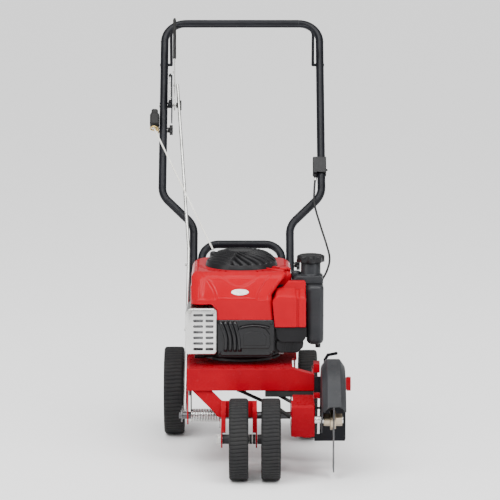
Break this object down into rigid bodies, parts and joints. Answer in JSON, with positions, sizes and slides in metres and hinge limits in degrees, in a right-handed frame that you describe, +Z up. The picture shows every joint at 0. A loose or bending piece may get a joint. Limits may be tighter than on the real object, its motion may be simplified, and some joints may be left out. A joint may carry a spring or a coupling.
{
  "type": "lawn edger",
  "caption": "Walk-behind petrol lawn edger: engine on a steel deck, swinging front wheels, kerb wheel, guarded vertical blade and leaned tube handle.",
  "frame": {"origin": "on the ground, below the middle of the outline", "axes": "+Z up, the front of the machine at -Y, +X on the blade side (the operator's left)"},
  "size_m": [0.456, 0.9548, 0.9499],
  "materials": {
    "red_paint": "gloss",
    "red_plastic": "gloss",
    "black_powder_coat": "satin",
    "guard_grey_paint": "satin",
    "zinc_plate": "satin",
    "bright_steel": "satin",
    "dark_steel": "satin",
    "yellow_zinc": "satin",
    "cast_aluminium": "matte",
    "cast_iron": "matte",
    "black_plastic": "satin",
    "tank_plastic": "satin",
    "hub_plastic": "satin",
    "tyre_rubber": "matte",
    "soft_grip": "matte",
    "belt_rubber": "matte",
    "cable_jacket": "satin",
    "rope_fibre": "matte",
    "dipstick_plastic": "gloss"
  },
  "bodies": {
    "root": {"deck_frame": "red_paint", "spindle_housing": "red_paint", "spindle_bearings": "bright_steel", "blade_guard": "guard_grey_paint", "guard_bracket": "black_powder_coat", "debris_shield": "black_powder_coat", "line_indicator": "red_paint", "handle_upper": "black_powder_coat", "handle_lower": "black_powder_coat", "handle_bolts": "zinc_plate", "handle_knobs": "black_plastic", "depth_quadrant": "black_powder_coat", "rope_guide": "yellow_zinc", "cable_block": "black_plastic", "clutch_cable": "cable_jacket", "engine_block": "cast_aluminium", "engine_shroud": "red_plastic", "recoil_cover": "black_plastic", "valve_cover": "black_plastic", "muffler": "bright_steel", "muffler_guard": "bright_steel", "air_cleaner_base": "black_plastic", "air_cleaner_cover": "red_plastic", "carburetor": "cast_aluminium", "fuel_tank": "tank_plastic", "spark_plug": "soft_grip", "drive_belt": "belt_rubber", "starter_rope": "rope_fibre", "torsion_spring": "bright_steel"},
    "front_yoke": {"front_yoke": "red_paint", "pivot_shaft": "dark_steel", "depth_crank": "dark_steel", "front_axle_bolts": "zinc_plate"},
    "front_left_wheel": {"front_left_hub": "hub_plastic", "front_left_tyre": "tyre_rubber"},
    "front_right_wheel": {"front_right_hub": "hub_plastic", "front_right_tyre": "tyre_rubber"},
    "rear_left_wheel": {"rear_left_hub": "hub_plastic", "rear_left_tyre": "tyre_rubber"},
    "kerb_arm": {"kerb_arm": "red_paint", "kerb_lever": "black_powder_coat"},
    "kerb_wheel": {"kerb_hub": "hub_plastic", "kerb_tyre": "tyre_rubber"},
    "crankshaft": {"crankshaft": "bright_steel", "flywheel": "cast_iron", "engine_pulley": "cast_iron"},
    "blade": {"blade_spindle": "bright_steel", "spindle_pulley": "cast_iron", "blade": "dark_steel", "blade_clamp": "bright_steel"},
    "idler_arm": {"idler_arm": "zinc_plate"},
    "idler_pulley": {"idler_pulley": "black_plastic"},
    "bail": {"bail": "black_powder_coat"},
    "depth_lever": {"depth_lever": "zinc_plate", "lever_grip": "soft_grip"},
    "depth_rod": {"depth_rod": "dark_steel"},
    "starter_grip": {"starter_grip": "soft_grip"},
    "fuel_cap": {"fuel_cap": "black_plastic"},
    "oil_cap": {"oil_cap": "dipstick_plastic"}
  },
  "joints": [
    {"name": "yoke_swing", "type": "hinge", "parent": "root", "child": "front_yoke", "pos_m": [-0.009, -0.2451, 0.1155], "axis": [1, 0, 0], "range_deg": [-28, 0]},
    {"name": "front_left_spin", "type": "hinge", "parent": "front_yoke", "child": "front_left_wheel", "pos_m": [-0.0145, -0.3651, 0.089], "axis": [1, 0, 0], "continuous": true},
    {"name": "front_right_spin", "type": "hinge", "parent": "front_yoke", "child": "front_right_wheel", "pos_m": [0.0555, -0.3651, 0.089], "axis": [1, 0, 0], "continuous": true},
    {"name": "rear_left_spin", "type": "hinge", "parent": "root", "child": "rear_left_wheel", "pos_m": [-0.166, 0.0899, 0.1016], "axis": [1, 0, 0], "continuous": true},
    {"name": "kerb_swing", "type": "hinge", "parent": "root", "child": "kerb_arm", "pos_m": [0.1175, -0.1131, 0.132], "axis": [1, 0, 0], "range_deg": [-25, 0]},
    {"name": "kerb_spin", "type": "hinge", "parent": "kerb_arm", "child": "kerb_wheel", "pos_m": [0.1435, 0.0499, 0.1016], "axis": [1, 0, 0], "continuous": true},
    {"name": "crank_spin", "type": "hinge", "parent": "root", "child": "crankshaft", "pos_m": [-0.009, -0.1101, 0.165], "axis": [0, 0, 1], "continuous": true},
    {"name": "blade_spin", "type": "hinge", "parent": "root", "child": "blade", "pos_m": [0.1915, -0.3551, 0.13], "axis": [1, 0, 0], "continuous": true},
    {"name": "bail_squeeze", "type": "hinge", "parent": "root", "child": "bail", "pos_m": [-0.009, 0.4021, 0.834], "axis": [1, 0, 0], "range_deg": [-45, 0], "stiffness_Nm_per_rad": 0.8, "springref_deg": 8.59},
    {"name": "idler_swing", "type": "hinge", "parent": "root", "child": "idler_arm", "pos_m": [0.087, -0.0951, 0.165], "axis": [0, 0, 1], "range_deg": [-14, 0]},
    {"name": "idler_spin", "type": "hinge", "parent": "idler_arm", "child": "idler_pulley", "pos_m": [0.074, -0.1461, 0.1625], "axis": [0, 0, 1], "continuous": true},
    {"name": "depth_lever_swing", "type": "hinge", "parent": "root", "child": "depth_lever", "pos_m": [-0.17, 0.3384, 0.743], "axis": [1, 0, 0], "range_deg": [0, 38.7]},
    {"name": "depth_rod_swing", "type": "hinge", "parent": "depth_lever", "child": "depth_rod", "pos_m": [-0.17, 0.34542, 0.78998], "axis": [1, 0, 0], "range_deg": [-37, 0]},
    {"name": "starter_pull", "type": "slide", "parent": "root", "child": "starter_grip", "axis": [0, 0.6157, 0.788], "range_m": [0, 0.5], "stiffness_N_per_m": 12, "springref_m": -0.4},
    {"name": "fuel_cap_turn", "type": "hinge", "parent": "root", "child": "fuel_cap", "pos_m": [0.145, -0.1651, 0.446], "axis": [0, 0, 1], "range_deg": [0, 90]},
    {"name": "oil_cap_turn", "type": "hinge", "parent": "root", "child": "oil_cap", "pos_m": [-0.061, -0.0151, 0.262], "axis": [0, 1, 0], "range_deg": [0, 90]}
  ],
  "couplings": [
    {"joint": "depth_lever_swing", "follows": "yoke_swing", "ratio": -1.375},
    {"joint": "depth_rod_swing", "follows": "yoke_swing", "ratio": 1.3034},
    {"joint": "idler_swing", "follows": "bail_squeeze", "ratio": 0.31}
  ]
}
